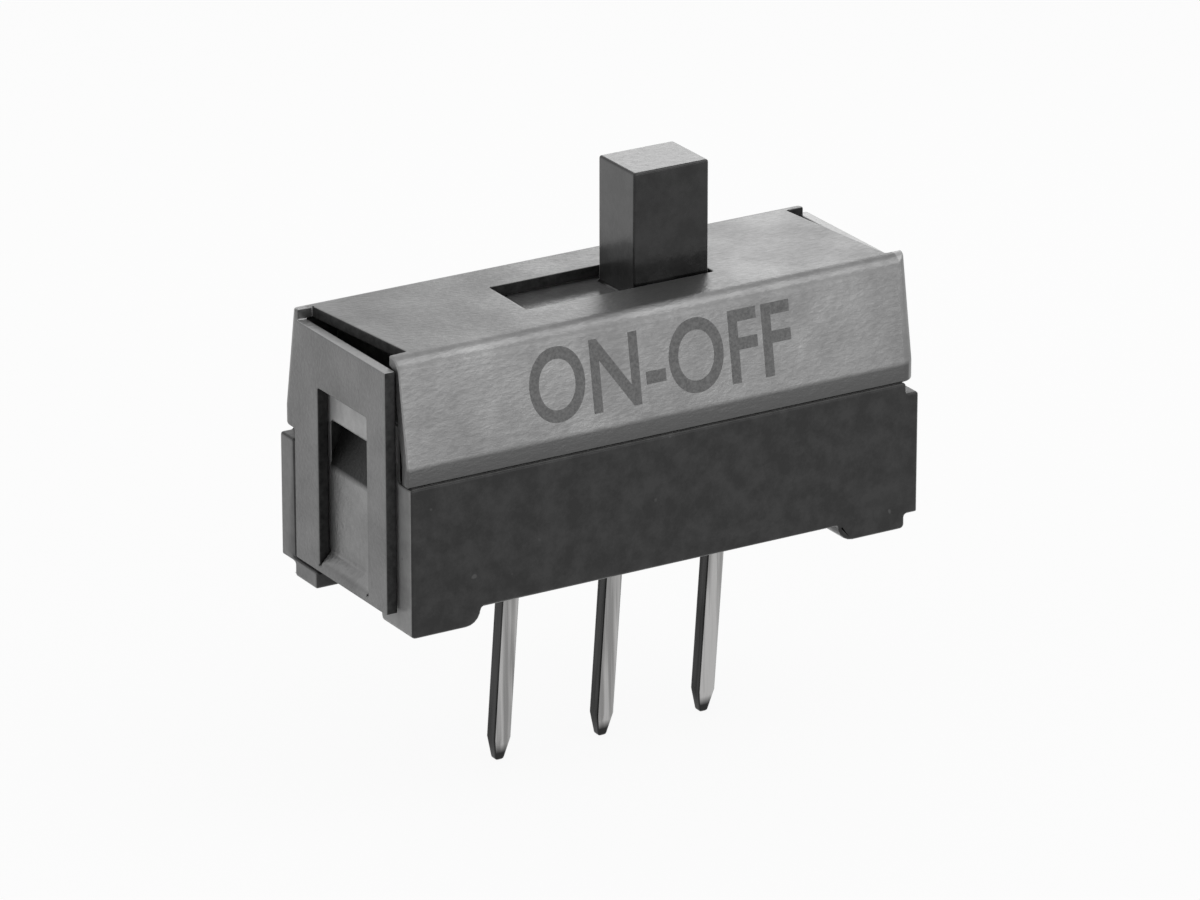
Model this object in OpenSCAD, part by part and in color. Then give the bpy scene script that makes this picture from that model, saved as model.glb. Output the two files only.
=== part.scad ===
// Miniature slide switch, one pole, two positions, for a printed circuit board.
// Millimetres. The origin is on the seating plane, at the middle of the body, under the
// common terminal's blade. X runs along the length and the travel, Y across the body, Z up.

/* [Base] */
// Length of the moulded base
base_l = 9.5; // [9.4:0.1:12]
// Width of the moulded base
base_w = 3.9; // [3.8:0.1:5]
// Height of the underside above the feet's soles
foot_h = 0.3; // [0.2:0.05:0.8]
// Length of each foot along the base
foot_l = 1.3; // [0.8:0.1:1.5]
// Depth of each foot across the base
foot_d = 1.2; // [0.8:0.1:1.5]
// Radius of a foot's lower corner at the base's end
foot_out_r = 0.08; // [0.02:0.02:0.2]
// Radius of a foot's lower corner towards the legs
foot_in_r = 0.28; // [0.04:0.02:0.3]
// Height of the seam between base and cover
seam_z = 2.6; // [2.5:0.05:3]
// Thickness of the base's floor
floor_t = 0.6; // [0.45:0.05:0.8]
// Thickness of the well's side walls
well_wall = 0.4; // [0.2:0.05:0.4]
// Height of the end shelves above the seam
shelf_h = 1; // [0.9:0.05:1.2]
// Depth of the end shelves along X
shelf_d = 0.5; // [0.4:0.05:0.6]
// Thickness of each shelf over its latch pocket
shelf_t = 0.65; // [0.4:0.05:0.7]
// Width of each corner post that shields a flap
post_w = 0.45; // [0.3:0.05:0.8]
// Drop of a corner post's top below the seam
post_drop = 0.2; // [0.1:0.05:0.5]
// Depth of a corner post's lower end below the base's underside
post_dip = 0.05; // [0.02:0.01:0.15]

/* [Cover] */
// Thickness of the cover's sheet
sheet_t = 0.2; // [0.15:0.01:0.28]
// Height of the cover above the seam
cover_h = 2.12; // [1.9:0.02:2.4]
// Height of the upright lip at the cover's foot
lip_h = 0.35; // [0.2:0.05:0.5]
// Step of the lip in from the base's face
lip_inset = 0.05; // [0:0.01:0.1]
// Lean of each side panel, from lip to top, along Y
side_lean = 0.3; // [0:0.01:0.4]
// Inside radius of the cover's bends
bend_in = 0.08; // [0.01:0.01:0.1]
// Gap between a flap and the base's end
flap_gap = 0.05; // [0.03:0.01:0.1]
// Gap between a flap and the end of the side panel at its free edge
panel_gap = 0.02; // [0.01:0.01:0.1]
// Gap between a flap and the top panel, at the bent corner
bent_gap = 0.1; // [0.05:0.05:0.3]
// Gap between a flap and the top panel, at the free corner
free_gap = 0.35; // [0.1:0.05:0.4]
// Drop of a flap's upper edge below the top panel
flap_drop = 0.19; // [0.05:0.01:0.3]
// Height of a flap's lower edge above the base's underside
flap_lift = 0.05; // [0:0.05:0.3]
// Distance from a flap's free edge to the base's face
flap_free = 0.38; // [0.3:0.01:0.6]

/* [Latch] */
// Shift of the window from the middle towards the flap's free edge
window_shift = 0.14; // [0:0.02:0.3]
// Width of the window in each flap
window_w = 1.6; // [1.2:0.05:1.8]
// Height of the window's upper edge above the seam
window_top = 0.96; // [0.8:0.02:1.2]
// Height of the flap's bar under the window
bar_h = 0.1; // [0.1:0.05:0.3]
// Gap cut on each side of the lanced tongue
lance_gap = 0.03; // [0.02:0.01:0.08]
// Height of the ramp in which the tongue steps inwards
ramp_h = 0.2; // [0.2:0.05:0.4]
// Drop of the tongue's upper bend below the seam
tongue_drop = 0.4; // [0.35:0.05:0.6]
// Reach of the tongue's hook under the shelf
hook_l = 0.25; // [0.15:0.05:0.3]

/* [Slider] */
// Travel of the lever
travel = 2; // [1.6:0.1:2.1]
// Length of the lever along X
lever_l = 1.44; // [1:0.02:1.8]
// Width of the lever across Y
lever_w = 1.13; // [0.8:0.01:1.2]
// Height of the lever above the cover
lever_h = 1.94; // [1:0.02:6]
// Thickness of the slider's flange under the cover
flange_t = 0.34; // [0.2:0.02:0.4]
// Overlap of the flange past the slot's ends
flange_lap = 0.1; // [0.05:0.05:0.15]
// Length of the slider's block
block_l = 3.6; // [3.5:0.1:4]
// Gap under the slider's skirts
skirt_gap = 0.15; // [0.1:0.05:0.3]

/* [Terminals] */
// Distance between neighbouring terminals
pitch = 2; // [1.9:0.05:2.1]
// Width of each leg along X
leg_w = 0.32; // [0.3:0.01:0.6]
// Thickness of the terminals' sheet
leg_t = 0.3; // [0.2:0.05:0.35]
// Length of the legs below the seating plane
leg_l = 3.4; // [2:0.1:5]
// Shift of each leg from the middle of its blade
leg_shift = 0.23; // [0:0.01:0.25]
// Lean of the legs towards -X, in degrees
leg_lean = 4; // [0:0.5:5]
// Width of a leg's tip
tip_w = 0.16; // [0.1:0.01:0.3]
// Distance in which a leg narrows to its tip
tip_l = 0.4; // [0.2:0.1:1]
// Width of each contact blade inside
blade_w = 0.9; // [0.7:0.05:1]
// Height of each contact blade above the floor
blade_h = 1.3; // [1:0.05:1.4]
// Depth of the sealing compound's recess
seal_d = 0.25; // [0.1:0.05:0.3]
// Width of the sealing compound's recess
seal_w = 1.4; // [1:0.1:1.8]

/* [Contact clip] */
// Thickness of the clip's strip
clip_t = 0.12; // [0.08:0.01:0.15]
// Length of the clip
clip_l = 2.8; // [2.6:0.1:3]
// Width of the clip over its back
clip_w = 0.9; // [0.8:0.05:1]
// Gap between the two fingers on each side
finger_gap = 0.3; // [0.2:0.05:0.5]
// Height of the flat with which a finger meets a blade
nip_h = 0.24; // [0.1:0.02:0.4]
// Room between the blades' tops and the clip's back
clip_head = 0.3; // [0.2:0.05:0.4]

/* [Fits] */
// Clearance of the slider along its travel, and under the cover
slide_gap = 0.05; // [0.02:0.01:0.08]
// Clearance on each side of the lever across its slot
lever_gap = 0.05; // [0.03:0.01:0.12]
// Clearance between the cover's walls and the base inside
fit_gap = 0.04; // [0.02:0.01:0.08]
// Clearance between the fingers and the blades
touch_gap = 0.02; // [0.01:0.01:0.04]

/* [Hidden] */
$fn = 48;
big = 40;                                   // longer than anything cut
over = 1;                                   // how far a cut runs past a face
bend_steps = 6;                             // faces round a bend
arc_steps = 5;                              // faces round a foot's corner

end_x = base_l / 2;                         // base's end face
in_x = end_x + flap_gap;                    // flap's inner face
out_x = in_x + sheet_t;                     // flap's outer face
bend_r = sheet_t + bend_in;                 // outside radius of the bends
side_y = base_w / 2;                        // base's long face
top_z = seam_z + cover_h;                   // cover's top face
lip_y = side_y - lip_inset;                 // lip's outer face
lip_z = seam_z + lip_h;                     // lip's upper edge
roof_y = lip_y - side_lean;                 // top panel's edge, before its bend
under_z = top_z - sheet_t;                  // top panel's lower face
lean_a = atan2(side_lean, top_z - lip_z);   // lean of the side panels
well_floor = foot_h + floor_t;
flap_z = foot_h + flap_lift;                // lower edge of the flaps

slot_l = lever_l + travel + 2 * slide_gap;
slot_w = lever_w + 2 * lever_gap;
rest_x = travel / 2;                        // slider's middle at rest
flange_top = under_z - slide_gap;
flange_z = flange_top - flange_t;
flange_l = slot_l + travel + 2 * flange_lap;
wall_z = flange_z - slide_gap;              // top of the well's walls
// Inner face of the cover's side at a height above the lip
function inner_y(z) = lip_y - side_lean * (z - lip_z) / (top_z - lip_z) - sheet_t / cos(lean_a);
flange_y = inner_y(flange_top) - 2 * slide_gap;
well_y = inner_y(wall_z) - fit_gap;         // outer face of the well's walls
cavity_y = well_y - well_wall;
stop_x = flange_l / 2 + travel / 2 + slide_gap;

shelf_z = seam_z + shelf_h;
shelf_y = inner_y(shelf_z) - fit_gap;
neck_x = end_x - shelf_d;                   // end wall's face above the shelf
pocket_top = shelf_z - shelf_t;             // latch pocket's ceiling
window_y = -window_shift;                   // middle of the window and the tongue
bend_z = seam_z - tongue_drop;              // tongue's upper bend
hook_dz = pocket_top - 2 * fit_gap - sheet_t / 2 - bend_z;

blade_top = well_floor + blade_h;
clip_z = blade_top + clip_head;             // underside of the clip's back
clip_y = clip_w / 2;
pocket_x = clip_l / 2 + touch_gap;
block_y = cavity_y - slide_gap;
seal_x = pitch + blade_w;                   // half length of the seal's recess

// Points of an arc about c, from angle a0 to a1
function arc(c, r, a0, a1, n) =
    [for (i = [0:n]) let (a = a0 + (a1 - a0) * i / n) [c[0] + r * cos(a), c[1] + r * sin(a)]];

// Half turn about Z: the cover and the base look the same from both ends
module both_ends() {
    for (a = [0, 180]) rotate([0, 0, a]) children();
}

module mirror_y() {
    for (m = [0, 1]) mirror([0, m, 0]) children();
}

// Block given by its lowest and highest corners
module block(lo, hi) {
    translate(lo) cube(hi - lo);
}

// Outline drawn in Y and Z, extruded along X from x0 to x1
module along_x(x0, x1) {
    translate([x0, 0, 0]) rotate([90, 0, 90]) linear_extrude(x1 - x0) children();
}

// Outline drawn in X and Z, extruded along Y from y0 to y1
module along_y(y0, y1) {
    translate([0, y1, 0]) rotate([90, 0, 0]) linear_extrude(y1 - y0) children();
}

// Straight piece of bent strip from p to q, drawn flat, with a round end at q
module strip(p, q, t) {
    d = q - p;
    translate(p) rotate(atan2(d[1], d[0])) translate([0, -t / 2]) square([norm(d), t]);
    translate(q) circle(d = t);
}

// Bent strip through a list of points
module bent_strip(points, t) {
    for (i = [1:len(points) - 1]) strip(points[i - 1], points[i], t);
}

// One foot: its lower corners are round, seen from the front
module foot() {
    x0 = end_x - foot_l;
    along_y(side_y - foot_d, side_y)
        polygon(concat([[end_x, foot_h + floor_t / 2], [x0, foot_h + floor_t / 2]],
                       arc([x0 + foot_in_r, foot_in_r], foot_in_r, 180, 270, arc_steps),
                       arc([end_x - foot_out_r, foot_out_r], foot_out_r, 270, 360, arc_steps)));
}

// Recess and pocket in an end face, for the flap's tongue and its hook
module latch_pocket() {
    half = window_w / 2;
    block([-end_x - over, window_y - half, flap_z - over],
          [-in_x + sheet_t + fit_gap, window_y + half, bend_z]);
    block([-end_x - over, window_y - half, bend_z - sheet_t],
          [-in_x + sheet_t / 2 + hook_l + sheet_t, window_y + half, pocket_top]);
}

module base() {
    color([0.16, 0.16, 0.17]) difference() {
        union() {
            block([-end_x, -side_y, foot_h], [end_x, side_y, seam_z]);
            block([-neck_x, -well_y, seam_z], [neck_x, well_y, wall_z]);
            for (m = [0, 1]) mirror([m, 0, 0]) {
                mirror_y() foot();
                block([neck_x, -shelf_y, seam_z], [end_x, shelf_y, shelf_z]);
                block([stop_x, -flange_y, wall_z], [neck_x, flange_y, flange_top]);
            }
            both_ends() {
                block([-out_x, side_y - post_w, foot_h - post_dip],
                      [-end_x, side_y, seam_z - post_drop]);
                // toe under the flap, beside the post
                block([-out_x, side_y - foot_d, 0], [-end_x + foot_out_r, side_y - post_w, foot_h]);
            }
        }
        block([-stop_x, -cavity_y, well_floor], [stop_x, cavity_y, big]);
        both_ends() latch_pocket();
        block([-seal_x, -seal_w / 2, -big], [seal_x, seal_w / 2, foot_h + seal_d]);
        for (i = [-1:1]) leg_neck(i);
    }
}

// Outline of the cover's section, o inside its outer face
function roof_half(o) =
    let (r = bend_r - o, zc = top_z - bend_r,
         yc = lip_y - ((zc - lip_z) * sin(lean_a) + bend_r) / cos(lean_a))
    concat([[lip_y - o, seam_z - o], [lip_y - o, lip_z - o * tan(lean_a / 2)]],
           arc([yc, zc], r, lean_a, 90, bend_steps));

module roof_section(o) {
    half = roof_half(o);
    n = len(half);
    polygon(concat(half, [for (i = [n - 1:-1:0]) [-half[i][0], half[i][1]]]));
}

// What is trimmed off an edge at the origin to round it, from z0 to z1
module edge_trim(z0, z1) {
    translate([0, 0, z0]) linear_extrude(z1 - z0) difference() {
        translate([-over, -bend_r]) square([bend_r + over, bend_r + over]);
        translate([bend_r, -bend_r]) circle(bend_r);
        translate([bend_r, -bend_r - over]) square(bend_r + 2 * over);
    }
}

// Rounds the bend where a leaning side panel turns into a flap
module bend_trim() {
    translate([-out_x, lip_y, lip_z]) {
        edge_trim(seam_z - lip_z - over, 0);
        rotate([lean_a, 0, 0]) edge_trim(0, cover_h);
    }
}

// Tongue lanced out of a flap: it steps in by one thickness and hooks under the shelf
module tongue() {
    x0 = -out_x + sheet_t / 2;
    x1 = x0 + sheet_t;
    foot_z = flap_z + bar_h;
    along_y(window_y - window_w / 2 + lance_gap, window_y + window_w / 2 - lance_gap)
        bent_strip([[x0, foot_z - bar_h / 2], [x0, foot_z], [x1, foot_z + ramp_h], [x1, bend_z],
                    [x1 + hook_l, bend_z + hook_dz]], sheet_t);
}

module cover() {
    free_y = -side_y + flap_free;
    color([0.72, 0.73, 0.74]) {
        difference() {
            union() {
                difference() {
                    along_x(-out_x, out_x) roof_section(0);
                    along_x(-in_x, in_x) roof_section(sheet_t);
                }
                both_ends() block([-out_x, free_y, flap_z],
                                  [-in_x, side_y - post_w - fit_gap, seam_z + sheet_t]);
            }
            both_ends() {
                bend_trim();
                // free edge of the flap, and the slit between it and the panel beside it
                block([-out_x - over, -big, 0], [-in_x + panel_gap, free_y, big]);
                block([-in_x, -big, 0], [-in_x + panel_gap, 0, big]);
                // upper edge of the flap, and the gap between it and the top panel
                block([-out_x - over, -big, top_z - flap_drop], [-in_x, roof_y - bend_r, big]);
                translate([0, 0, under_z - fit_gap]) linear_extrude(big)
                    polygon([[-in_x, bend_r - roof_y], [-in_x + free_gap, bend_r - roof_y],
                             [-in_x + bent_gap, roof_y - bend_r], [-in_x, roof_y - bend_r]]);
                // window
                block([-out_x - over, window_y - window_w / 2, flap_z + bar_h],
                      [-in_x + over, window_y + window_w / 2, seam_z + window_top]);
            }
            block([-slot_l / 2, -slot_w / 2, seam_z], [slot_l / 2, slot_w / 2, big]);
        }
        both_ends() tongue();
    }
}

module slider() {
    color([0.3, 0.3, 0.31]) translate([rest_x, 0, 0]) difference() {
        union() {
            block([-lever_l / 2, -lever_w / 2, flange_z], [lever_l / 2, lever_w / 2, top_z + lever_h]);
            block([-flange_l / 2, -flange_y, flange_z], [flange_l / 2, flange_y, flange_top]);
            block([-block_l / 2, -block_y, blade_top + 2 * slide_gap],
                  [block_l / 2, block_y, flange_z]);
            mirror_y() block([-block_l / 2, clip_y + touch_gap, well_floor + skirt_gap],
                             [block_l / 2, block_y, flange_z]);
        }
        block([-pocket_x, -clip_y - touch_gap, 0],
              [pocket_x, clip_y + touch_gap, clip_z + clip_t + touch_gap]);
    }
}

// Bridge of springy strip: its fingers close on two neighbouring blades
module contact_clip() {
    y_top = clip_y - clip_t / 2;
    z_top = clip_z + clip_t / 2;
    y_nip = leg_t / 2 + touch_gap + clip_t / 2;
    z_nip = well_floor + blade_h / 2;
    color([0.78, 0.6, 0.32]) translate([rest_x, 0, 0]) difference() {
        mirror_y() along_x(-clip_l / 2, clip_l / 2)
            bent_strip([[-clip_t, z_top], [y_top, z_top], [y_top, blade_top],
                        [y_nip, z_nip + nip_h / 2], [y_nip, z_nip - nip_h / 2],
                        [y_top, well_floor + skirt_gap + clip_t]], clip_t);
        block([-finger_gap / 2, -clip_w, 0], [finger_gap / 2, clip_w, clip_z - clip_t]);
    }
}

// Upright part of a leg, where it passes the floor
module leg_neck(i) {
    x = i * pitch + leg_shift;
    block([x - leg_w / 2, -leg_t / 2, foot_h], [x + leg_w / 2, leg_t / 2, well_floor]);
}

// Terminal i of the row: a blade inside, and a leaning leg for the board
module terminal(i) {
    x = i * pitch;
    xl = x + leg_shift;
    drop = foot_h + leg_l;
    dx = tan(leg_lean);
    bevel = leg_t / 2;
    color([0.75, 0.75, 0.73]) {
        leg_neck(i);
        along_y(-leg_t / 2, leg_t / 2) {
            polygon([[x - blade_w / 2, well_floor], [x + blade_w / 2, well_floor],
                     [x + blade_w / 2, blade_top - bevel], [x + blade_w / 2 - bevel, blade_top],
                     [x - blade_w / 2 + bevel, blade_top], [x - blade_w / 2, blade_top - bevel]]);
            translate([xl, foot_h])
                polygon([[-leg_w / 2, 0], [-leg_w / 2 - dx * (drop - tip_l), tip_l - drop],
                         [-tip_w / 2 - dx * drop, -drop], [tip_w / 2 - dx * drop, -drop],
                         [leg_w / 2 - dx * (drop - tip_l), tip_l - drop], [leg_w / 2, 0]]);
        }
    }
}

module left_terminal() { terminal(-1); }
module common_terminal() { terminal(0); }
module right_terminal() { terminal(1); }

// Compound poured round the legs, level with the underside
module terminal_seal() {
    color([0.55, 0.42, 0.25]) difference() {
        block([-seal_x, -seal_w / 2, foot_h], [seal_x, seal_w / 2, foot_h + seal_d]);
        for (i = [-1:1]) leg_neck(i);
    }
}

base();
cover();
slider();
contact_clip();
left_terminal();
common_terminal();
right_terminal();
terminal_seal();
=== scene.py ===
# Looks of a miniature slide switch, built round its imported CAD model.
# The frame is in metres. Sizes here are in millimetres, and each mesh is made in them first.
import math

import bmesh
import bpy
from mathutils import Matrix, Vector
from mathutils.bvhtree import BVHTree


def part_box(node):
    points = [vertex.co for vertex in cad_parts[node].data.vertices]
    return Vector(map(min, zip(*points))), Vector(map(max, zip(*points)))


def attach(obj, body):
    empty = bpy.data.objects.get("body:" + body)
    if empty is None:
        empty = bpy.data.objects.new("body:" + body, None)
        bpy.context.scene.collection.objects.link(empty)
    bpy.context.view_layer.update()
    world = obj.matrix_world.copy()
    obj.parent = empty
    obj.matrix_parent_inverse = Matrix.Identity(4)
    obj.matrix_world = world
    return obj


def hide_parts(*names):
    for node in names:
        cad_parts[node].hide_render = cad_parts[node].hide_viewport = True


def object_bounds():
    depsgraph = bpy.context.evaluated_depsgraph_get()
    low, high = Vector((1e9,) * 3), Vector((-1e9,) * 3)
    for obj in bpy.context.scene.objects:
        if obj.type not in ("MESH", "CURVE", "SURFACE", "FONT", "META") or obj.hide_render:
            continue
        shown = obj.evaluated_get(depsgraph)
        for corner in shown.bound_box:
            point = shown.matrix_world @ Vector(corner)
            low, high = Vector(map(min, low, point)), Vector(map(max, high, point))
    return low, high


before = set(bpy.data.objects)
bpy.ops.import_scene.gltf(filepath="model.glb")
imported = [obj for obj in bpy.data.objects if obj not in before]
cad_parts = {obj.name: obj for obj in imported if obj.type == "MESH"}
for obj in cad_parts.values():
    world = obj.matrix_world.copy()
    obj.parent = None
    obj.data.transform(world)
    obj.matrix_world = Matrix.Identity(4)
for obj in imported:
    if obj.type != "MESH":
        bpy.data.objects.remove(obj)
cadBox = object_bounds()
mm = 0.001


def nodeBox(node):
    low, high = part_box(node)
    return low / mm, high / mm


# Meshes
flatAngle = math.radians(0.5)      # faces closer than this lie in one plane
dissolveAngle = math.radians(1)
bevelAngle = math.radians(30)
sharpAngle = math.radians(65)      # beyond this an edge shades hard


def addObject(name, data):
    piece = bpy.data.objects.new(name, data)
    bpy.context.scene.collection.objects.link(piece)
    return piece


def cadCopy(node, name, mergeDistance):
    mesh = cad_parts[node].data.copy()
    mesh.name = name
    mesh.materials.clear()
    mesh.transform(Matrix.Scale(1 / mm, 4))
    shape = bmesh.new()
    shape.from_mesh(mesh)
    bmesh.ops.remove_doubles(shape, verts=shape.verts, dist=mergeDistance)
    bmesh.ops.dissolve_degenerate(shape, dist=mergeDistance / 2, edges=shape.edges)
    bmesh.ops.dissolve_limit(shape, angle_limit=dissolveAngle, verts=shape.verts,
                             edges=shape.edges, delimit={"NORMAL"})
    bmesh.ops.connect_verts_concave(shape, faces=shape.faces)
    bmesh.ops.recalc_face_normals(shape, faces=shape.faces)
    shape.to_mesh(mesh)
    shape.free()
    return addObject(name, mesh)


def addBevel(piece, look):
    bevel = piece.modifiers.new("edges", "BEVEL")
    bevel.width = look["edge"]
    bevel.segments = look["segments"]
    bevel.limit_method = "ANGLE"
    bevel.angle_limit = bevelAngle
    bevel.use_clamp_overlap = False
    bevel.miter_outer = "MITER_ARC"


def flatGroups(shape):
    # lists of faces that lie in one plane and touch
    groups, placed = [], set()
    for first in shape.faces:
        if first in placed:
            continue
        group, members = [first], {first}
        for face in group:         # the list grows while it is read
            for edge in face.edges:
                for other in edge.link_faces:
                    if other not in members and other.normal.angle(first.normal, 0) < flatAngle:
                        members.add(other)
                        group.append(other)
        placed |= members
        groups.append(group)
    return groups


def steadyNormals(mesh):
    # flat faces keep their own normal, and the bends and rounded edges between them shade smoothly
    shape = bmesh.new()
    shape.from_mesh(mesh)
    flatArea = {}
    for group in flatGroups(shape):
        total = sum(face.calc_area() for face in group)
        for face in group:
            flatArea[face] = total
    normals = []
    for face in shape.faces:
        for loop in face.loops:
            total = Vector()
            for other in loop.vert.link_faces:
                if other.normal.angle(face.normal, 0) < sharpAngle:
                    total += other.normal * flatArea[other] ** 2
            normals.append(total.normalized())
    shape.free()
    mesh.normals_split_custom_set(normals)


def plainMesh(piece):
    # applies the modifiers and turns millimetres into metres
    bpy.context.view_layer.update()
    depsgraph = bpy.context.evaluated_depsgraph_get()
    mesh = bpy.data.meshes.new_from_object(piece.evaluated_get(depsgraph))
    piece.modifiers.clear()
    old = piece.data
    piece.data = mesh
    bpy.data.meshes.remove(old)
    mesh.name = piece.name
    for face in mesh.polygons:
        face.use_smooth = True
    steadyNormals(mesh)
    mesh.transform(Matrix.Scale(mm, 4))
    return piece


def keepInside(piece, node):
    # rounding a small corner may throw a point past the faces that meet there
    low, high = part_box(node)
    for vertex in piece.data.vertices:
        vertex.co = [min(max(value, a), b) for value, a, b in zip(vertex.co, low, high)]


def handOver(piece, body, slotName, *nodes):
    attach(piece, body)
    if nodes:
        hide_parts(*nodes)


# Finishes
# A pattern is given as scale, detail and roughness, and a relief as strength and depth.
# Other pairs are the two ends of a change, in place or in tone.
unit = (0, 1)
falling = (1, 0)


def newFinish(name):
    # also gives the place that patterns read, in millimetres
    material = bpy.data.materials.new(name)
    material.use_nodes = True
    tree = material.node_tree
    coordinates = tree.nodes.new("ShaderNodeTexCoord")
    scale = tree.nodes.new("ShaderNodeMapping")
    scale.inputs["Scale"].default_value = (1 / mm, 1 / mm, 1 / mm)
    tree.links.new(coordinates.outputs["Object"], scale.inputs["Vector"])
    return material, tree, tree.nodes["Principled BSDF"], scale.outputs["Vector"]


def plugIn(tree, value, socket):
    if isinstance(value, bpy.types.NodeSocket):
        tree.links.new(value, socket)
    elif isinstance(value, tuple):
        socket.default_value = (*value, 1)
    else:
        socket.default_value = value


def noise(tree, place, pattern, stretch=None):
    if stretch:
        mapping = tree.nodes.new("ShaderNodeMapping")
        mapping.inputs["Scale"].default_value = stretch
        tree.links.new(place, mapping.inputs["Vector"])
        place = mapping.outputs["Vector"]
    node = tree.nodes.new("ShaderNodeTexNoise")
    for label, value in zip(("Scale", "Detail", "Roughness"), pattern):
        node.inputs[label].default_value = value
    tree.links.new(place, node.inputs["Vector"])
    return node.outputs["Fac"]


def ramp(tree, source, span, result=unit):
    node = tree.nodes.new("ShaderNodeMapRange")
    for label, value in zip(("From Min", "From Max", "To Min", "To Max"), (*span, *result)):
        node.inputs[label].default_value = value
    tree.links.new(source, node.inputs["Value"])
    return node.outputs["Result"]


def maths(tree, operation, *values):
    node = tree.nodes.new("ShaderNodeMath")
    node.operation = operation
    for value, socket in zip(values, node.inputs):
        plugIn(tree, value, socket)
    return node.outputs[0]


def times(tree, first, *others):
    for other in others:
        first = maths(tree, "MULTIPLY", first, other)
    return first


def blend(tree, factor, first, second, mode="MIX"):
    # inputs 6 and 7 are the ones for colours
    node = tree.nodes.new("ShaderNodeMix")
    node.data_type = "RGBA"
    node.blend_type = mode
    for value, socket in ((factor, node.inputs[0]), (first, node.inputs[6]), (second, node.inputs[7])):
        plugIn(tree, value, socket)
    return node.outputs[2]


def along(tree, vector, letter):
    split = tree.nodes.new("ShaderNodeSeparateXYZ")
    tree.links.new(vector, split.inputs[0])
    return split.outputs[letter]


def eitherWay(tree, vector, letter):
    return maths(tree, "ABSOLUTE", along(tree, vector, letter))


def faceNormal(tree):
    return tree.nodes.new("ShaderNodeNewGeometry").outputs["True Normal"]


def bump(tree, shader, height, relief):
    node = tree.nodes.new("ShaderNodeBump")
    node.inputs["Strength"].default_value = relief[0]
    node.inputs["Distance"].default_value = relief[1] * mm
    tree.links.new(height, node.inputs["Height"])
    tree.links.new(node.outputs["Normal"], shader.inputs["Normal"])


def grey(value, tint=0.0):
    return (value * (1 - tint), value, value * (1 + tint))


def shifted(span, start):
    return (start + span[0], start + span[1])


# Cover
coverLook = {
    "merge": 0.015, "edge": 0.03, "segments": 2,
    "sheet": 0.2, "cutWidth": (0.6, 1.15),         # a cut edge is about one sheet wide
    "sheetFinishZ": 0.5, "sheetFinishX": 0.7, "sheetFinishY": 1.3,      # facing and place of the cut edges that keep the sheet's finish instead of the dark cut finish
    "dark": 0.19, "light": 0.27, "metallic": 0.9, "roughness": (0.44, 0.34), "relief": (0.35, 0.012),
    "cloud": (0.9, 4, 0.6), "cloudSpan": (0.35, 0.65), "cloudShare": 0.65,
    "grain": (14, 3, 0.6), "grainStretch": (0.5, 1, 1), "grainSpan": (0.3, 0.7), "grainShare": 0.35,
    "lip": 0.095, "lipZ": (2.89, 2.97), "lipY": (1.86, 1.88),
    "endShade": 0.69, "endX": (-0.07, -0.02), "roofShade": 0.91, "roofZ": (-0.06, -0.02),
    "hookShade": 0.09, "hookX": (4.80, 4.84), "hookY": (1.1, 1.2),
    "hookLow": (2.12, 2.24), "hookTop": (3.3, 3.4),
    "rim": 0.33, "rimFacing": (0.55, 0.75), "rimX": (4.80, 4.83), "rimZ": (3.9, 4.0),
    "cutDark": 0.018, "cutLight": 0.045, "cutMetallic": 0.7, "cutRoughness": 0.6,
    "streak": (9, 3, 0.6), "streakSpan": (0.3, 0.7), "cutRelief": (0.4, 0.01)}


def makeTinnedSheet():
    look = coverLook
    top = nodeBox("cover")[1]
    material, tree, shader, place = newFinish("tinnedSheet")
    cloud = ramp(tree, noise(tree, place, look["cloud"]), look["cloudSpan"])
    grain = ramp(tree, noise(tree, place, look["grain"], look["grainStretch"]), look["grainSpan"])
    tone = maths(tree, "ADD", times(tree, cloud, look["cloudShare"]), times(tree, grain, look["grainShare"]))
    colour = blend(tree, tone, grey(look["dark"]), grey(look["light"]))
    farX = eitherWay(tree, place, "X")
    farY = eitherWay(tree, place, "Y")
    z = along(tree, place, "Z")
    # painted shade: the cover's lowest band, where it tucks in over the base, is darkened to stand in for the
    # dimmer light its upright face reflects
    lip = times(tree, ramp(tree, z, look["lipZ"], falling), ramp(tree, farY, look["lipY"]))
    colour = blend(tree, lip, colour, grey(look["lip"]))
    # painted shade on the flaps' outer faces at the ends, on the top panel, and on the hooks inside the latch
    # pockets
    ends = ramp(tree, farX, shifted(look["endX"], top.x), (1, look["endShade"]))
    roof = ramp(tree, z, shifted(look["roofZ"], top.z), (1, look["roofShade"]))
    pocket = times(tree, ramp(tree, farX, look["hookX"], falling), ramp(tree, farY, look["hookY"], falling),
                   ramp(tree, z, look["hookLow"]), ramp(tree, z, look["hookTop"], falling))
    hook = ramp(tree, pocket, unit, (1, look["hookShade"]))
    colour = blend(tree, 1, colour, times(tree, ends, hook, roof), "MULTIPLY")
    # a painted highlight along the flaps' top edges
    rim = times(tree, ramp(tree, along(tree, faceNormal(tree), "Z"), look["rimFacing"]),
                ramp(tree, farX, look["rimX"]), ramp(tree, z, look["rimZ"]))
    tree.links.new(blend(tree, rim, colour, grey(look["rim"])), shader.inputs["Base Color"])
    tree.links.new(ramp(tree, tone, unit, look["roughness"]), shader.inputs["Roughness"])
    shader.inputs["Metallic"].default_value = look["metallic"]
    bump(tree, shader, grain, look["relief"])
    return material


def makeCutEdge():
    look = coverLook
    material, tree, shader, place = newFinish("shearedEdge")
    streak = noise(tree, place, look["streak"])
    # the dark tone is partly the bare sheared steel and partly painted shade of the slits beside the cut
    # edges
    colour = blend(tree, ramp(tree, streak, look["streakSpan"]),
                   grey(look["cutDark"]), grey(look["cutLight"]))
    tree.links.new(colour, shader.inputs["Base Color"])
    shader.inputs["Metallic"].default_value = look["cutMetallic"]
    shader.inputs["Roughness"].default_value = look["cutRoughness"]
    bump(tree, shader, streak, look["cutRelief"])
    return material


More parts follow.
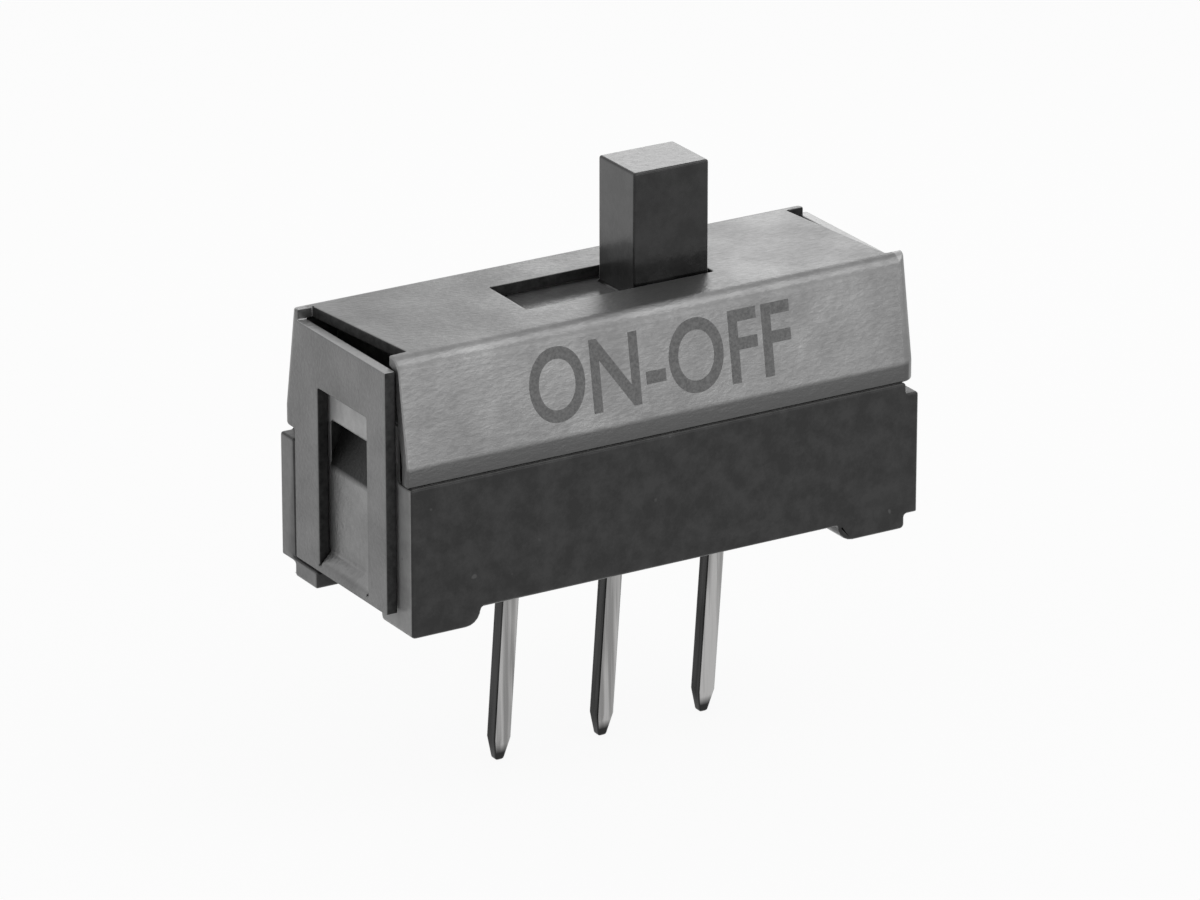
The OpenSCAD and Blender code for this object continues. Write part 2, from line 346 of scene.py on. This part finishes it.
def markCutEdges(mesh):
    # flat strips about as wide as the sheet is thick, apart from level ones and end-facing ones near the
    # corners, which keep the sheet's finish
    look = coverLook
    shape = bmesh.new()
    shape.from_mesh(mesh)
    for group in flatGroups(shape):
        members = set(group)
        rim = sum(edge.calc_length() for face in group for edge in face.edges
                  if not members.issuperset(edge.link_faces))
        width = 2 * sum(face.calc_area() for face in group) / rim
        narrow = look["cutWidth"][0] < width / look["sheet"] < look["cutWidth"][1]
        normal = group[0].normal
        sideY = min(abs(face.calc_center_median().y) for face in group)
        keepsSheetFinish = abs(normal.z) > look["sheetFinishZ"] or (abs(normal.x) > look["sheetFinishX"] and sideY > look["sheetFinishY"])
        if narrow and not keepsSheetFinish:
            for face in group:
                face.material_index = 1
    shape.to_mesh(mesh)
    shape.free()


def makeCover():
    piece = cadCopy("cover", "foldedCover", coverLook["merge"])
    piece.data.materials.append(makeTinnedSheet())
    piece.data.materials.append(makeCutEdge())
    markCutEdges(piece.data)
    addBevel(piece, coverLook)
    plainMesh(piece)
    keepInside(piece, "cover")
    handOver(piece, "housing", "cover_sheet", "cover")


makeCover()
print("cover made")

# Moulded plastic, shared by base and lever
plasticLook = {
    "cloud": (2.1, 5, 0.7), "cloudSpan": (0.4, 0.62), "grainSpan": (0.3, 0.7), "relief": (0.25, 0.012),
    "endFacing": (0.90, 0.98), "endPatches": (0.75, 1),
    "topFacing": (0.9, 0.98), "topPatches": (0.6, 1), "levelLightZ": (4.5, 4.6),
    "dust": 0.05, "speck": (4, 1, 0.4), "speckSpan": (0.76, 0.80),
    "ior": 1.43, "sheenRoughness": 0.33}


def makeMouldedPlastic(name, look, paintEndLight):
    both = plasticLook
    material, tree, shader, place = newFinish(name)
    cloud = ramp(tree, noise(tree, place, both["cloud"]), both["cloudSpan"])
    grain = noise(tree, place, look["grain"])
    colour = blend(tree, cloud, grey(look["dark"]), grey(look["light"]))
    # painted light on the end faces, then on level faces low down
    ends = times(tree, ramp(tree, eitherWay(tree, faceNormal(tree), "X"), both["endFacing"]),
                 ramp(tree, cloud, unit, both["endPatches"]))
    colour = paintEndLight(tree, place, ends, colour)
    # painted light on level faces below the slot's rim, such as the slide's flange seen in the slot
    levelFaceLight = times(tree, ramp(tree, along(tree, faceNormal(tree), "Z"), both["topFacing"]),
                   ramp(tree, along(tree, place, "Z"), both["levelLightZ"], falling),
                   ramp(tree, cloud, unit, both["topPatches"]))
    colour = blend(tree, levelFaceLight, colour, grey(look["levelFaceLight"]))
    # a few pale specks of dust
    speck = ramp(tree, noise(tree, place, both["speck"]), both["speckSpan"])
    colour = blend(tree, speck, colour, grey(both["dust"]))
    tree.links.new(colour, shader.inputs["Base Color"])
    tree.links.new(ramp(tree, grain, both["grainSpan"], look["roughness"]), shader.inputs["Roughness"])
    shader.inputs["IOR"].default_value = both["ior"]
    shader.inputs["Sheen Weight"].default_value = look["haze"]
    shader.inputs["Sheen Roughness"].default_value = both["sheenRoughness"]
    bump(tree, shader, grain, both["relief"])
    return material


# Base
baseLook = {
    "merge": 0.004, "edge": 0.05, "segments": 3,
    "dark": 0.001, "light": 0.018, "levelFaceLight": 0.018, "haze": 0.7, "roughness": (0.28, 0.42),
    "grain": (11, 4, 0.65), "endX": (4.5, 4.55),
    # tones of the painted light on the end faces: below the shelves, on the shelves and on the posts
    "pocket": 0.24, "shelf": 0.44, "shelfZ": (2.90, 2.94), "post": 0.12, "postX": (4.84, 4.90)}


def paintBaseEndLight(tree, place, ends, colour):
    # painted light on the base's end faces, palest as a painted highlight on the end shelves
    look = baseLook
    farX = eitherWay(tree, place, "X")
    high = ramp(tree, along(tree, place, "Z"), look["shelfZ"])
    paintedEndLight = blend(tree, high, grey(look["pocket"]), grey(look["shelf"]))
    paintedEndLight = blend(tree, ramp(tree, farX, look["postX"]), paintedEndLight, grey(look["post"]))
    return blend(tree, times(tree, ends, ramp(tree, farX, look["endX"])), colour, paintedEndLight)


basePlastic = makeMouldedPlastic("blackMoulding", baseLook, paintBaseEndLight)


def makeBase():
    piece = cadCopy("base", "mouldedBase", baseLook["merge"])
    piece.data.materials.append(basePlastic)
    addBevel(piece, baseLook)
    plainMesh(piece)
    keepInside(piece, "base")
    handOver(piece, "housing", "base_plastic", "base")


makeBase()
print("base made")

# Slider
sliderLook = {
    "merge": 0.004, "edge": 0.045, "segments": 3,
    "dark": 0.001, "light": 0.014, "levelFaceLight": 0.09, "haze": 0.8, "roughness": (0.11, 0.25),
    # end is the tone of the painted light on the lever's end faces
    "grain": (9, 4, 0.65), "end": 0.07, "endZ": (4.9, 5.5)}


def paintLeverEndLight(tree, place, ends, colour):
    # painted light on the lever's end faces, fading out towards the slot
    fade = ramp(tree, along(tree, place, "Z"), sliderLook["endZ"])
    return blend(tree, times(tree, ends, fade), colour, grey(sliderLook["end"]))


def makeSlider():
    piece = cadCopy("slider", "leverAndSlide", sliderLook["merge"])
    piece.data.materials.append(makeMouldedPlastic("leverMoulding", sliderLook, paintLeverEndLight))
    addBevel(piece, sliderLook)
    plainMesh(piece)
    handOver(piece, "lever_slider", "slider_plastic", "slider")


makeSlider()
print("slider made")

# Contact clip, which keeps its CAD shape
clipLook = {
    "dark": (0.45, 0.24, 0.10), "light": (0.62, 0.38, 0.18), "roughness": 0.3, "relief": (0.2, 0.01),
    "streak": (8, 3, 0.6), "streakStretch": (0.3, 2, 2), "streakSpan": (0.3, 0.7)}


def makeBronze():
    look = clipLook
    material, tree, shader, place = newFinish("springBronze")
    streak = noise(tree, place, look["streak"], look["streakStretch"])
    colour = blend(tree, ramp(tree, streak, look["streakSpan"]), look["dark"], look["light"])
    tree.links.new(colour, shader.inputs["Base Color"])
    shader.inputs["Metallic"].default_value = 1
    shader.inputs["Roughness"].default_value = look["roughness"]
    bump(tree, shader, streak, look["relief"])
    return material


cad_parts["contact_clip"].data.materials.clear()
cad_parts["contact_clip"].data.materials.append(makeBronze())
print("clip finished")


# Geometry Nodes
def newTree(name, inputs):
    tree = bpy.data.node_groups.new(name, "GeometryNodeTree")
    tree.is_modifier = True
    for label, kind in inputs.items():
        tree.interface.new_socket(label, in_out="INPUT", socket_type="NodeSocket" + kind)
    tree.interface.new_socket("Geometry", in_out="OUTPUT", socket_type="NodeSocketGeometry")
    return tree, tree.nodes.new("NodeGroupInput"), tree.nodes.new("NodeGroupOutput")


def linkAll(tree, pairs):
    for source, target in pairs:
        tree.links.new(source, target)


def runTree(tree, name, values):
    piece = addObject(name, bpy.data.meshes.new(name))
    modifier = piece.modifiers.new("build", "NODES")
    modifier.node_group = tree
    for item in tree.interface.items_tree:
        if item.in_out == "INPUT":
            modifier[item.identifier] = values[item.name]
    return plainMesh(piece)


# Terminals
terminalLook = {
    "merge": 0.004, "edge": 0.05, "segments": 3, "cutFacing": 0.85,
    "tipLength": 0.4, "coinedTip": 0.6, "tipFace": 0.01,
    "plate": (0.24, 0.43), "cut": (0.01, 0.03), "tint": -0.01,
    "streak": (5, 2, 0.5), "streakStretch": (2, 2, 0.08), "streakSpan": (0.38, 0.62),
    "roughSpan": (0.3, 0.7), "roughness": (0.22, 0.36), "relief": (0.3, 0.01),
    "tip": 0.03, "tipZ": (0.14, 0.30)}


def makePlatedStrip(name, tones):
    look = terminalLook
    foot = nodeBox("common_terminal")[0].z
    material, tree, shader, place = newFinish(name)
    streak = noise(tree, place, look["streak"], look["streakStretch"])
    colour = blend(tree, ramp(tree, streak, look["streakSpan"]),
                   grey(tones[0], look["tint"]), grey(tones[1], look["tint"]))
    tip = ramp(tree, along(tree, place, "Z"), shifted(look["tipZ"], foot))
    tree.links.new(blend(tree, tip, grey(look["tip"]), colour), shader.inputs["Base Color"])
    tree.links.new(ramp(tree, streak, look["roughSpan"], look["roughness"]), shader.inputs["Roughness"])
    shader.inputs["Metallic"].default_value = 1
    bump(tree, shader, streak, look["relief"])
    return material


def terminalMaster(finish):
    look = terminalLook
    piece = cadCopy("common_terminal", "terminalMaster", look["merge"])
    piece.data.materials.append(finish)
    foot = nodeBox("common_terminal")[0].z
    shape = bmesh.new()
    shape.from_mesh(piece.data)
    # the tip is coined thinner from the shoulders down
    bmesh.ops.bisect_plane(shape, geom=shape.verts[:] + shape.edges[:] + shape.faces[:],
                           dist=look["merge"] / 2, plane_co=(0, 0, foot + look["tipLength"]),
                           plane_no=(0, 0, 1))
    for vertex in shape.verts:
        if vertex.co.z < foot + look["tipFace"]:
            vertex.co.y *= look["coinedTip"]
    shape.to_mesh(piece.data)
    shape.free()
    addBevel(piece, look)
    return piece


def terminalTree():
    tree, given, result = newTree("terminalRow", {
        "Master": "Object", "Count": "Int", "Pitch": "Float", "First": "Float",
        "Finish": "Material", "Cut finish": "Material", "Cut facing": "Float"})
    start = tree.nodes.new("ShaderNodeCombineXYZ")
    step = tree.nodes.new("ShaderNodeCombineXYZ")
    line = tree.nodes.new("GeometryNodeMeshLine")
    master = tree.nodes.new("GeometryNodeObjectInfo")
    spread = tree.nodes.new("GeometryNodeInstanceOnPoints")
    realize = tree.nodes.new("GeometryNodeRealizeInstances")
    finish = tree.nodes.new("GeometryNodeSetMaterial")
    linkAll(tree, (
        (given.outputs["First"], start.inputs["X"]),
        (given.outputs["Pitch"], step.inputs["X"]),
        (given.outputs["Count"], line.inputs["Count"]),
        (start.outputs[0], line.inputs["Start Location"]),
        (step.outputs[0], line.inputs["Offset"]),
        (given.outputs["Master"], master.inputs["Object"]),
        (line.outputs["Mesh"], spread.inputs["Points"]),
        (master.outputs["Geometry"], spread.inputs["Instance"]),
        (spread.outputs["Instances"], realize.inputs["Geometry"]),
        (realize.outputs["Geometry"], finish.inputs["Geometry"]),
        (given.outputs["Finish"], finish.inputs["Material"])))
    # faces that look along the row are cut ones
    normal = tree.nodes.new("GeometryNodeInputNormal")
    split = tree.nodes.new("ShaderNodeSeparateXYZ")
    facing = tree.nodes.new("ShaderNodeMath")
    facing.operation = "ABSOLUTE"
    isCut = tree.nodes.new("FunctionNodeCompare")
    isCut.operation = "GREATER_THAN"
    cut = tree.nodes.new("GeometryNodeSetMaterial")
    linkAll(tree, (
        (normal.outputs[0], split.inputs[0]),
        (split.outputs["X"], facing.inputs[0]),
        (facing.outputs[0], isCut.inputs["A"]),
        (given.outputs["Cut facing"], isCut.inputs["B"]),
        (isCut.outputs[0], cut.inputs["Selection"]),
        (finish.outputs["Geometry"], cut.inputs["Geometry"]),
        (given.outputs["Cut finish"], cut.inputs["Material"]),
        (cut.outputs["Geometry"], result.inputs["Geometry"])))
    return tree


def makeTerminals():
    look = terminalLook
    nodes = ("left_terminal", "common_terminal", "right_terminal")
    pitch = nodeBox(nodes[1])[0].x - nodeBox(nodes[0])[0].x
    plated = makePlatedStrip("platedStrip", look["plate"])
    sheared = makePlatedStrip("shearedStrip", look["cut"])
    master = terminalMaster(plated)
    piece = runTree(terminalTree(), "terminalRow", {
        "Master": master, "Count": len(nodes), "Pitch": pitch, "First": -pitch,
        "Finish": plated, "Cut finish": sheared, "Cut facing": look["cutFacing"]})
    bpy.data.objects.remove(master)
    handOver(piece, "housing", "terminal_strip", *nodes)


makeTerminals()
print("terminals made")

# Sealing compound
sealLook = {
    "cellsX": 116, "cellsY": 28, "depth": 0.005, "sag": 0.06, "wallReach": 0.12,
    "legReach": 0.09, "legClimb": 0.10, "legHalfX": 0.16, "legHalfY": 0.15, "legSlice": 0.01,
    "dark": (0.040, 0.016, 0.003), "light": (0.090, 0.038, 0.008), "roughness": 0.32, "coat": 0.12,
    "cloud": (2.2, 4, 0.6), "cloudSpan": (0.3, 0.7), "relief": (0.15, 0.02)}


def makeResin():
    look = sealLook
    material, tree, shader, place = newFinish("pouredResin")
    cloud = noise(tree, place, look["cloud"])
    colour = blend(tree, ramp(tree, cloud, look["cloudSpan"]), look["dark"], look["light"])
    tree.links.new(colour, shader.inputs["Base Color"])
    shader.inputs["Roughness"].default_value = look["roughness"]
    shader.inputs["Coat Weight"].default_value = look["coat"]
    bump(tree, shader, cloud, look["relief"])
    return material


def legMiddles(z):
    middles = []
    for node in ("left_terminal", "common_terminal", "right_terminal"):
        corners = [vertex.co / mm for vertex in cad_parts[node].data.vertices]
        ring = [corner.x for corner in corners if abs(corner.z - z) < sealLook["legSlice"]]
        middles.append((min(ring) + max(ring)) / 2)
    return middles


def sealLevel(x, y, low, high, legs):
    # the pour sags away from the walls and creeps up the legs
    look = sealLook
    wall = min(x - low.x, high.x - x, y - low.y, high.y - y)
    aside = max(abs(y) - look["legHalfY"], 0)
    leg = min(math.hypot(max(abs(x - middle) - look["legHalfX"], 0), aside) for middle in legs)
    sag = look["sag"] * (1 - math.exp(-wall / look["wallReach"]))
    climb = look["legClimb"] * math.exp(-leg / look["legReach"])
    return low.z + look["depth"] + sag - climb


def makeSeal():
    low, high = nodeBox("terminal_seal")
    legs = legMiddles(low.z)
    columns, rows = sealLook["cellsX"], sealLook["cellsY"]
    shape = bmesh.new()
    lower, upper = [], []
    for i in range(columns + 1):
        x = low.x + (high.x - low.x) * i / columns
        lower.append([])
        upper.append([])
        for j in range(rows + 1):
            y = low.y + (high.y - low.y) * j / rows
            lower[i].append(shape.verts.new((x, y, sealLevel(x, y, low, high, legs))))
            upper[i].append(shape.verts.new((x, y, high.z)))
    for i in range(columns):
        for j in range(rows):
            shape.faces.new((lower[i][j], lower[i][j + 1], lower[i + 1][j + 1], lower[i + 1][j]))
            shape.faces.new((upper[i][j], upper[i + 1][j], upper[i + 1][j + 1], upper[i][j + 1]))
    for i in range(columns):
        for j in (0, rows):
            shape.faces.new((lower[i][j], lower[i + 1][j], upper[i + 1][j], upper[i][j]))
    for j in range(rows):
        for i in (0, columns):
            shape.faces.new((lower[i][j], lower[i][j + 1], upper[i][j + 1], upper[i][j]))
    bmesh.ops.recalc_face_normals(shape, faces=shape.faces)
    mesh = bpy.data.meshes.new("sealPour")
    shape.to_mesh(mesh)
    shape.free()
    mesh.materials.append(makeResin())
    piece = plainMesh(addObject("sealPour", mesh))
    handOver(piece, "housing", "sealing_compound", "terminal_seal")


makeSeal()
print("seal made")

# Ejector marks on the underside
ejectorLook = {"radius": 0.32, "height": 0.012, "sides": 40, "spanX": 4.4, "spanY": 2.7}


def ejectorTree():
    tree, given, result = newTree("ejectorMarks", {
        "Radius": "Float", "Height": "Float", "Sides": "Int", "Span X": "Float",
        "Span Y": "Float", "Level": "Float", "Finish": "Material"})
    grid = tree.nodes.new("GeometryNodeMeshGrid")
    grid.inputs["Vertices X"].default_value = 2
    grid.inputs["Vertices Y"].default_value = 2
    disc = tree.nodes.new("GeometryNodeMeshCylinder")
    lift = tree.nodes.new("ShaderNodeCombineXYZ")
    move = tree.nodes.new("GeometryNodeTransform")
    spread = tree.nodes.new("GeometryNodeInstanceOnPoints")
    realize = tree.nodes.new("GeometryNodeRealizeInstances")
    finish = tree.nodes.new("GeometryNodeSetMaterial")
    linkAll(tree, (
        (given.outputs["Span X"], grid.inputs["Size X"]),
        (given.outputs["Span Y"], grid.inputs["Size Y"]),
        (given.outputs["Radius"], disc.inputs["Radius"]),
        (given.outputs["Height"], disc.inputs["Depth"]),
        (given.outputs["Sides"], disc.inputs["Vertices"]),
        (given.outputs["Level"], lift.inputs["Z"]),
        (lift.outputs[0], move.inputs["Translation"]),
        (grid.outputs["Mesh"], move.inputs["Geometry"]),
        (move.outputs["Geometry"], spread.inputs["Points"]),
        (disc.outputs["Mesh"], spread.inputs["Instance"]),
        (spread.outputs["Instances"], realize.inputs["Geometry"]),
        (realize.outputs["Geometry"], finish.inputs["Geometry"]),
        (given.outputs["Finish"], finish.inputs["Material"]),
        (finish.outputs["Geometry"], result.inputs["Geometry"])))
    return tree


def makeEjectorMarks():
    look = ejectorLook
    piece = runTree(ejectorTree(), "ejectorMarks", {
        "Radius": look["radius"], "Height": look["height"], "Sides": look["sides"],
        "Span X": look["spanX"], "Span Y": look["spanY"],
        "Level": nodeBox("terminal_seal")[0].z, "Finish": basePlastic})
    handOver(piece, "housing", "base_plastic")


makeEjectorMarks()
print("ejector marks made")

# Lettering on the front panel
wordLook = {
    "text": "ON-OFF", "height": 1.26, "width": 5.0, "middleX": 0.08, "middleZ": 3.80,
    "thick": 0.004, "swell": 0.014, "merge": 0.0001, "probe": 0.4, "probeY": -20,
    "dark": 0.09, "light": 0.15, "roughness": 0.6,
    "speck": (20, 3, 0.6), "speckSpan": (0.35, 0.65), "relief": (0.2, 0.004)}


def makeMarking():
    look = wordLook
    material, tree, shader, place = newFinish("markingInk")
    speck = noise(tree, place, look["speck"])
    colour = blend(tree, ramp(tree, speck, look["speckSpan"]), grey(look["dark"]), grey(look["light"]))
    tree.links.new(colour, shader.inputs["Base Color"])
    shader.inputs["Roughness"].default_value = look["roughness"]
    bump(tree, shader, speck, look["relief"])
    return material


def panelPlace():
    # probes the leaning panel below and above the middle of the words
    look = wordLook
    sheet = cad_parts["cover"].data
    panel = BVHTree.FromPolygons([v.co for v in sheet.vertices], [f.vertices for f in sheet.polygons])
    hits = []
    for dz in (-look["probe"], look["probe"]):
        start = Vector((look["middleX"], look["probeY"], look["middleZ"] + dz)) * mm
        hits.append(panel.ray_cast(start, Vector((0, 1, 0)))[0])
    row = Vector((1, 0, 0))
    rise = (hits[1] - hits[0]).normalized()
    turn = Matrix((row, rise, row.cross(rise))).transposed().to_4x4()
    return Matrix.Translation((hits[0] + hits[1]) / 2) @ turn


def flatWords():
    look = wordLook
    curve = bpy.data.curves.new("positionWords", "FONT")
    curve.body = look["text"]
    curve.size = 1
    curve.extrude = look["thick"]
    curve.offset = look["swell"]
    flat = addObject("positionWordsFlat", curve)
    bpy.context.view_layer.update()
    mesh = bpy.data.meshes.new_from_object(flat.evaluated_get(bpy.context.evaluated_depsgraph_get()))
    bpy.data.objects.remove(flat)
    xs = [vertex.co.x for vertex in mesh.vertices]
    ys = [vertex.co.y for vertex in mesh.vertices]
    scaleX = look["width"] / (max(xs) - min(xs))
    scaleY = look["height"] / (max(ys) - min(ys))
    mesh.transform(Matrix.Translation((-(max(xs) + min(xs)) / 2, -(max(ys) + min(ys)) / 2, 0)))
    mesh.transform(Matrix.Diagonal((scaleX * mm, scaleY * mm, mm, 1)))
    return mesh


def makeWords():
    mesh = flatWords()
    mesh.transform(panelPlace())
    shape = bmesh.new()
    shape.from_mesh(mesh)
    bmesh.ops.remove_doubles(shape, verts=shape.verts, dist=wordLook["merge"] * mm)
    bmesh.ops.recalc_face_normals(shape, faces=shape.faces)
    shape.to_mesh(mesh)
    shape.free()
    mesh.materials.clear()
    mesh.materials.append(makeMarking())
    piece = addObject("positionWords", mesh)
    handOver(piece, "housing", "cover_sheet")


makeWords()
print("lettering made")

# Camera
cameraLook = {
    "azimuth": -31.15, "elevation": 21.05, "distance": 128.5, "lens": 233.0, "sensor": 36, "nearest": 1,
    "aimRight": -0.0247, "aimUp": -0.5516, "aimHeight": 2.3}


def makeCamera():
    look = cameraLook
    azimuth = math.radians(look["azimuth"])
    elevation = math.radians(look["elevation"])
    right = Vector((math.cos(azimuth), math.sin(azimuth), 0))
    back = Vector((math.sin(azimuth) * math.cos(elevation), -math.cos(azimuth) * math.cos(elevation),
                   math.sin(elevation)))
    up = back.cross(right)
    aim = Vector((0, 0, look["aimHeight"])) + right * look["aimRight"] + up * look["aimUp"]
    data = bpy.data.cameras.new("camera")
    data.lens = look["lens"]
    data.sensor_width = look["sensor"]
    data.clip_start = look["nearest"] * mm
    camera = addObject("camera", data)
    turn = Matrix((right, up, back)).transposed().to_4x4()
    camera.matrix_world = Matrix.Translation((aim + back * look["distance"]) * mm) @ turn
    bpy.context.scene.camera = camera


makeCamera()
print("camera made")

# World and floor
stageLook = {
    "world": 0.62, "floor": 0.85, "floorRoughness": 0.9, "floorSpecular": 0.1, "glow": 0.92,
    "floorSize": 600, "floorDrop": 0.0005}


def seenDirectly(tree):
    path = tree.nodes.new("ShaderNodeLightPath").outputs
    direct = maths(tree, "MAXIMUM", path["Is Camera Ray"], path["Is Glossy Ray"])
    return maths(tree, "MAXIMUM", direct, path["Is Transmission Ray"])


def makeWorld():
    world = bpy.data.worlds.new("studio")
    world.use_nodes = True
    bpy.context.scene.world = world
    tree = world.node_tree
    colour = blend(tree, seenDirectly(tree), grey(stageLook["world"]), grey(1))
    tree.links.new(colour, tree.nodes["Background"].inputs["Color"])


def makeFloorFinish():
    look = stageLook
    material = bpy.data.materials.new("paleFloor")
    material.use_nodes = True
    tree = material.node_tree
    shader = tree.nodes["Principled BSDF"]
    plugIn(tree, grey(look["floor"]), shader.inputs["Base Color"])
    shader.inputs["Roughness"].default_value = look["floorRoughness"]
    shader.inputs["Specular IOR Level"].default_value = look["floorSpecular"]
    glow = tree.nodes.new("ShaderNodeEmission")
    plugIn(tree, grey(1), glow.inputs["Color"])
    lit = tree.nodes.new("ShaderNodeMixShader")
    # clear from below, so that the underside can be looked at
    oneSided = tree.nodes.new("ShaderNodeMixShader")
    side = tree.nodes.new("ShaderNodeNewGeometry")
    clear = tree.nodes.new("ShaderNodeBsdfTransparent")
    linkAll(tree, (
        (times(tree, seenDirectly(tree), look["glow"]), lit.inputs[0]),
        (shader.outputs[0], lit.inputs[1]),
        (glow.outputs[0], lit.inputs[2]),
        (side.outputs["Backfacing"], oneSided.inputs[0]),
        (lit.outputs[0], oneSided.inputs[1]),
        (clear.outputs[0], oneSided.inputs[2]),
        (oneSided.outputs[0], tree.nodes["Material Output"].inputs["Surface"])))
    return material


def makeFloor():
    half = stageLook["floorSize"] / 2 * mm
    level = cadBox[0].z - stageLook["floorDrop"] * mm
    mesh = bpy.data.meshes.new("floor")
    mesh.from_pydata([(-half, -half, level), (half, -half, level), (half, half, level), (-half, half, level)],
                     [], [(0, 1, 2, 3)])
    mesh.materials.append(makeFloorFinish())
    floor = addObject("floor", mesh)


makeWorld()
makeFloor()
print("world and floor made")

# Lights, all turned to the middle of the body
lightHeight = 3
lightLook = {
    "backBox": {"direction": (0.556, 0.72, 0.415), "distance": 34, "size": (10, 9), "radiance": 2.1},
    "frontBox": {"direction": (0.30, -0.94, 0.12), "distance": 150, "size": (70, 60), "radiance": 1.7},
    "keyBox": {"direction": (0.48, -0.36, 0.80), "distance": 200, "size": (110, 110), "radiance": 1.6},
    "leftFill": {"direction": (-0.95, -0.05, 0.35), "distance": 180, "size": (90, 90), "radiance": 1.0}}


def softBox(name, look):
    data = bpy.data.lights.new(name, "AREA")
    data.shape = "RECTANGLE"
    data.size = look["size"][0] * mm
    data.size_y = look["size"][1] * mm
    data.energy = look["radiance"] * math.pi * data.size * data.size_y
    light = addObject(name, data)
    away = Vector(look["direction"]).normalized()
    light.location = (Vector((0, 0, lightHeight)) + away * look["distance"]) * mm
    light.rotation_euler = away.to_track_quat("Z", "Y").to_euler()
    light.visible_camera = False


def makeLights():
    for name, look in lightLook.items():
        softBox(name, look)


makeLights()
bpy.context.scene.view_settings.view_transform = "Standard"
print("lights made")
